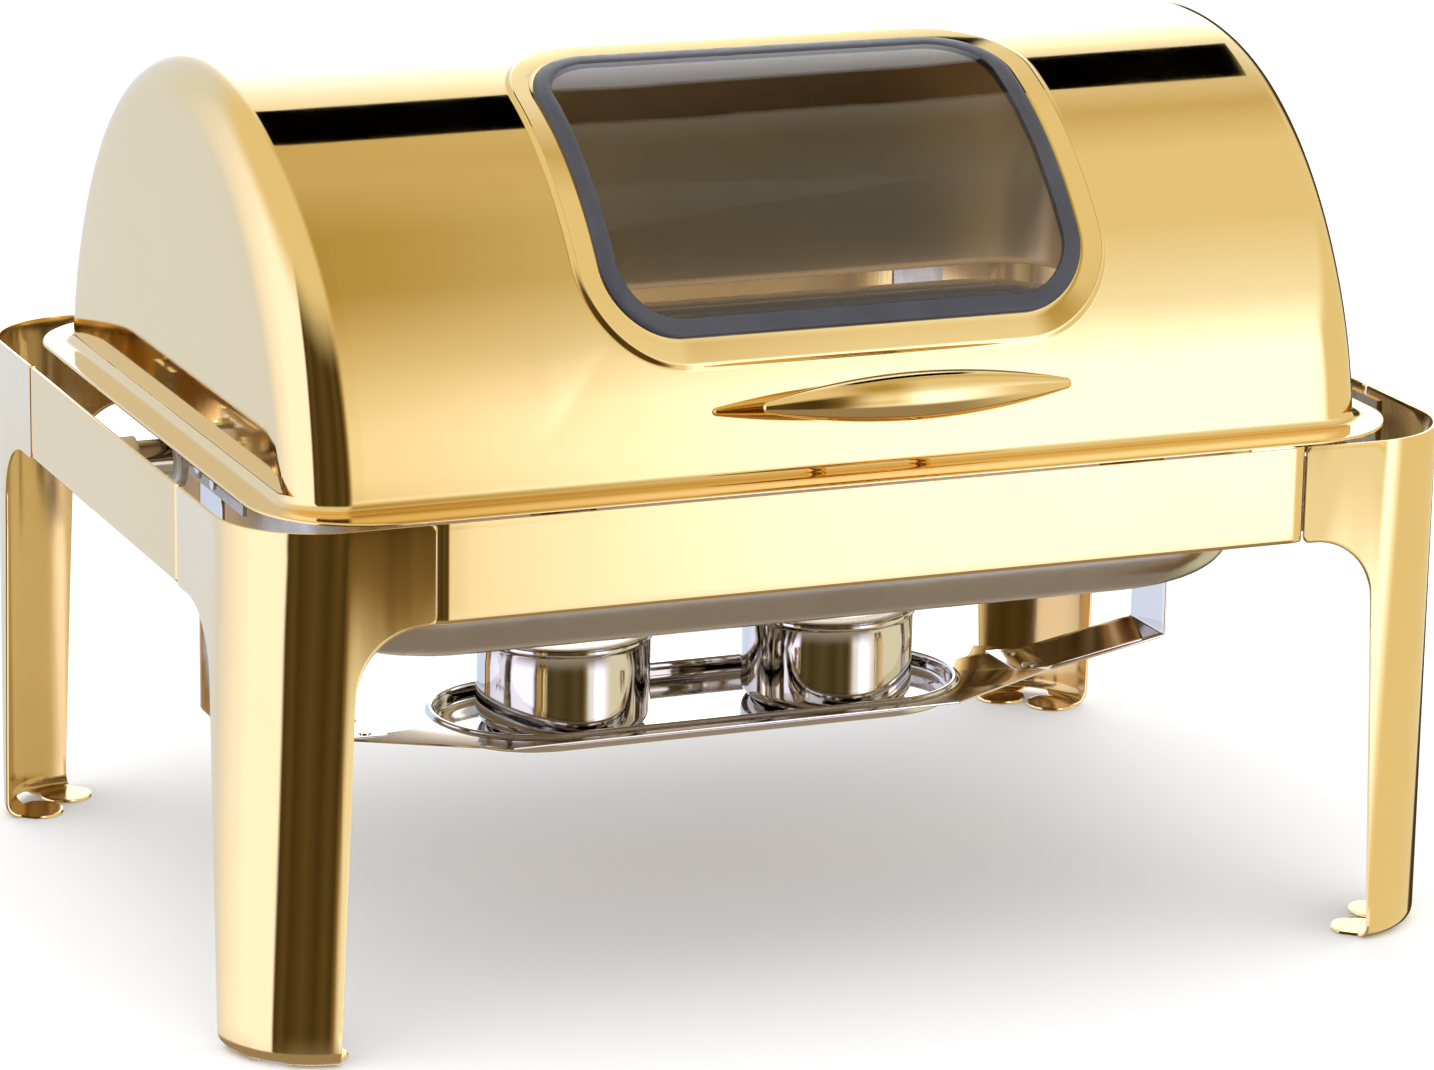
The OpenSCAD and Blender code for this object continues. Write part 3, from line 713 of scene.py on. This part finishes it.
def shelf_skin():
    straight = 92.0
    corners = [math.degrees(math.atan2(y, x - straight)) for x, y in ((124, 61), (196, 20))]
    turns = sorted(set([round(t, 3) for t in steps(0, 90, 30)] + corners))
    quarter = [(straight, t) for t in turns]
    half = quarter + [(x, 90) for x in steps(straight, -straight, 24)[1:-1]]
    half += [(-straight, 180 - t) for t in reversed(turns)]
    loop = half + [(x, -t) for x, t in reversed(half[1:-1])]

    def plate_edge(cx, t):
        dx, dy = cosd(t), sind(t)
        best = 1e9
        for (ax, ay, reach) in ((1, 0, 196.0), (0, 1, 61.0), (41, 72, 41 * 196.0 + 72 * 20)):
            k = ax * abs(dx) + ay * abs(dy)
            start = ax * abs(cx) * (1 if cx * dx >= 0 or abs(dx) < 1e-9 else -1)
            if k > 1e-9:
                best = min(best, (reach - start) / k)
        return best

    def row(distance, z):
        points = []
        for cx, t in loop:
            d = distance or plate_edge(cx, t)
            points.append((cx + cosd(t) * d, sind(t) * d, z))
        return points

    rows = [row(None, SHELF_TOP), row(55.2, SHELF_TOP), row(54.2, SHELF_TOP + 0.15)]
    rows += [row(53.4, SHELF_TOP + 0.7)]
    rows += [row(51.7 + 1.5 * cosd(a), SHELF_TOP + 1.0 + 1.2 * sind(a)) for a in steps(15, 165, 8)]
    rows += [row(50.0, SHELF_TOP + 0.6), row(49.8, SHELF_TOP - 3)]
    rows += [row(46.3 + 3.5 * cosd(a), TRAY_FLOOR + 3.5 - 3.5 * sind(a)) for a in steps(0, 90, 6)]
    rows += [row(d, TRAY_FLOOR) for d in (40, 30, 20, 10, 0.01)]
    rows[-1] = [(x, 0.0, z) for x, y, z in rows[-1]]
    return Skin().grid(rows, closed=True)


build("fuel_shelf", shelf_skin(), "frame", polished,
    lambda x, y, z: (0, 0, 1), 1.15, bevel=0.25)


def rounded_path(points, radius, n=6):
    out = [points[0]]
    for p, q, s in zip(points, points[1:], points[2:]):
        a, b, c = Vector(p), Vector(q), Vector(s)
        u, v = (a - b).normalized(), (c - b).normalized()
        start, end = b + u * radius, b + v * radius
        for t in steps(0, 1, n):
            out.append(tuple(start * (1 - t) ** 2 + b * 2 * t * (1 - t) + end * t * t))
    return out + [points[-1]]


def hanger(name, side):
    path = rounded_path([(176, 90.8), (196.6, 90.8), (263.5, 103.0), (263.5, 235)], 2.5)
    rows = [[(side * x, y, z) for x, z in path] for y in steps(-20, 20, 10)]
    build(name, Skin().grid(rows), "frame", polished,
        lambda x, y, z: (side * 0.5, 0, -1) if z < 110 else (side, 0, 0), 1.4, bevel=0.25)


hanger("shelf_hanger_left", -1)
hanger("shelf_hanger_right", 1)

CUP_X = 74


def cup(side):
    """Fuel holder with a rolled rim, and the ring cover pressed over its mouth."""
    x = side * CUP_X
    body = "fuel_left" if side < 0 else "fuel_right"
    tag = "left" if side < 0 else "right"
    outer = [(0.01, 84.6), (30, 84.6), (33, 84.0)]
    outer += [(36.5 + 8.5 * sind(a), 92.5 - 8.5 * cosd(a)) for a in steps(0, 90, 10)]
    outer += [(45, z) for z in (100, 110, 120)]
    rim = [(45, 129.5), (45.3, 130.6), (46.0, 131.4), (46.2, 132.4), (46.0, 133.4),
        (45.4, 133.9), (44.7, 133.9), (44.1, 133.4), (44, 132)]
    inner = [(44, z) for z in (120, 110, 100)]
    inner += [(36.5 + 7.5 * sind(a), 92.5 - 7.5 * cosd(a)) for a in steps(90, 0, 10)]
    inner += [(20, 85), (0.01, 85.2)]
    build("fuel_holder_" + tag, lathe(outer + rim + inner, x), body, polished,
        bevel=0)
    cover = [(27, 134.2), (27.3, 134.8), (28, 135.0), (36, 134.9), (40, 134.9), (44.6, 135.0),
        (45.4, 134.8), (45.6, 134.4), (45.3, 134.05), (44.2, 134.0), (43.8, 133.6),
        (43.8, 128.2), (43.4, 128.0), (43.0, 128.2), (43.0, 133.0), (42.6, 133.6),
        (40, 133.9), (28, 133.9), (27.3, 134.0), (27, 134.2)]
    build("fuel_ring_" + tag, lathe(cover, x), body, polished, bevel=0)


cup(-1)
cup(1)

# ---------- carried-over CAD nodes ----------

SIDES = ("left", "right")
CARRIED = {name: satin for name in ("splice_plates", "window_retainer")}
CARRIED.update({name: polished for name in ("bracket_studs", "bracket_nuts", "stud_nuts",
    "shelf_rivets", "window_studs", "window_nuts", "handle_screws")})
for tag in SIDES:
    for name in ("pivot_bracket_", "pan_carrier_", "front_rest_", "hinge_plate_"):
        CARRIED[name + tag] = satin
    for name in ("pivot_stud_", "pivot_collar_"):
        CARRIED[name + tag] = polished
    CARRIED["hinge_bush_" + tag] = nylon
CARRIED["lid_bumpers"] = silicone
for name, look in CARRIED.items():
    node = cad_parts[name]
    node.data.materials.clear()
    node.data.materials.append(look)
    round_edges(node, 0.25)

# ---------- studio ----------

LEVEL = 2.5
GOLD_TONE = (0.93, 0.70, 0.345)
PALE_FROM, PALE_BALANCE = 245, 0.8
CARD = ((110.6, 111.2), (127.6, 128.2))
FAR = 14000


def tone(r, g, b):
    """Light that makes the polished gold show this colour, as a share of the brightest light."""
    linear = [((v / 255 + 0.055) / 1.055) ** 2.4 for v in (r, g, b)]
    light = [v / t for v, t in zip(linear, GOLD_TONE)]
    least = PALE_BALANCE * light[2] if r >= PALE_FROM else 0.0
    return tuple(max(v, least) / LEVEL for v in light)


def make_world():
    world = bpy.data.worlds.new("studio")
    scene.world = world
    world.use_nodes = True
    n = Nodes(world.node_tree)
    out = n.add("OutputWorld")
    split = n.add("SeparateXYZ", Vector=n.add("TexCoord").outputs["Generated"])
    x, y, z = split.outputs
    ahead = n.math("MULTIPLY", y, -1.0)
    sweep = n.math("ARCTAN2", n.math("ADD", z, 0.26), n.math("SUBTRACT", 0.893, y))
    sweep = n.math("SUBTRACT", n.math("MULTIPLY", sweep, 2.0), math.radians(16.35))
    around = n.math("ARCTAN2", x, ahead)

    def stops(values):
        return [((a + 180) / 360, c if max(c) < 2 else tone(*c)) for a, c in values]

    turn = n.span(sweep, -math.pi, math.pi, smooth=False)
    white, black, below, dim = (1.1, 1.1, 1.1), (0, 0, 0), (0.14, 0.115, 0.085), (0.30, 0.26, 0.20)
    glow, cream, pale, light = (255, 250, 230), (250, 235, 200), (250, 225, 165), (250, 215, 145)
    warm, mid, deep = (230, 195, 120), (205, 165, 90), (180, 140, 60)
    umber, brown, dark, stone = (150, 110, 50), (90, 65, 25), (70, 50, 15), (220, 205, 165)
    left = n.ramp(turn, stops([
        (-180, white), (-150, dim), (-110, below), (-32, below), (-23, pale), (-8, warm),
        (5, light), (15, light), (30, warm), (45, mid), (57, deep), (75, deep), (95, mid),
        (110, mid), (130, pale), (140, cream), (156, white), (180, white)]))
    right = n.ramp(turn, stops([
        (-180, white), (-150, dim), (-110, below), (-34, below), (-24, cream), (-15, glow),
        (20, glow), (36, pale), (60, warm), (84, warm), (100, mid), (130, pale), (147, white),
        (180, white)]))
    front = n.mix(n.span(x, 0.30, 0.41), left, right)
    round_turn = n.span(around, -math.pi, math.pi, smooth=False)
    side = n.ramp(round_turn, stops([
        (-180, stone), (-157, stone), (-100, cream), (-61, cream), (-58, dark), (-50, brown),
        (-44, dark), (-28, brown), (-14, dark), (-4, brown), (5, dark), (12, umber),
        (40, pale), (150, cream), (180, stone)]))
    high = n.span(z, 0.55, 0.85)
    side = n.mix(high, side, tone(*warm))
    side = n.mix(n.span(z, -0.35, -0.55), side, below)
    colour = n.mix(n.span(x, 0.14, 0.27), side, front)
    behind = n.product(n.span(y, 0.50, 0.64), n.span(x, 0.42, 0.50), n.span(z, 0.30, 0.15))
    colour = n.mix(behind, colour, tone(*dark))
    end_band = n.product(n.span(x, 0.45, 0.70), n.span(y, 0.60, 0.50), n.span(z, 0.50, 0.30))
    colour = n.mix(end_band, colour, tone(*warm))
    (low_out, low_in), (high_in, high_out) = CARD
    card_low = n.span(sweep, math.radians(low_out), math.radians(low_in))
    card_high = n.span(sweep, math.radians(high_out), math.radians(high_in))
    card = n.product(card_low, card_high, n.product(n.span(x, 0.24, 0.27), n.span(x, 0.50, 0.47)))
    colour = n.mix(card, colour, black)
    studio = n.add("Background", Color=colour, Strength=LEVEL)
    plain = n.add("Background", Color=(1, 1, 1, 1), Strength=1.4)
    path = n.add("LightPath")
    mixed = n.add("MixShader")
    n.put(mixed, "0", n.math("MAXIMUM", path.outputs["Is Camera Ray"], path.outputs["Is Diffuse Ray"]))
    n.put(mixed, "1", studio.outputs[0])
    n.put(mixed, "2", plain.outputs[0])
    n.put(out, "Surface", mixed.outputs[0])


def make_floor():
    skin = Skin().grid([[(x, y, 0.0) for x in steps(-FAR, FAR, 4)] for y in steps(-FAR, FAR, 4)])
    mesh = bpy.data.meshes.new("floor")
    mesh.from_pydata([(x * MM, y * MM, z * MM - 0.0002) for x, y, z in skin.points], [], skin.faces)
    floor = bpy.data.objects.new("floor", mesh)
    scene.collection.objects.link(floor)
    m = bpy.data.materials.new("floor")
    m.use_nodes = True
    shader = m.node_tree.nodes["Principled BSDF"]
    shader.inputs["Base Color"].default_value = (0.96, 0.96, 0.96, 1)
    shader.inputs["Roughness"].default_value = 0.9
    shader.inputs["Specular IOR Level"].default_value = 0.0
    mesh.materials.append(m)
    floor.visible_glossy = False


def soft_light(name, place, size, power):
    data = bpy.data.lights.new(name, "AREA")
    data.shape = "SQUARE"
    data.size = size
    data.energy = power
    light = bpy.data.objects.new(name, data)
    scene.collection.objects.link(light)
    light.location = place
    light.rotation_euler = (-Vector(place)).to_track_quat("-Z", "Y").to_euler()
    light.visible_glossy = False


make_world()
make_floor()
soft_light("top_light", (-0.6, -0.8, 3.0), 3.0, 8.0)
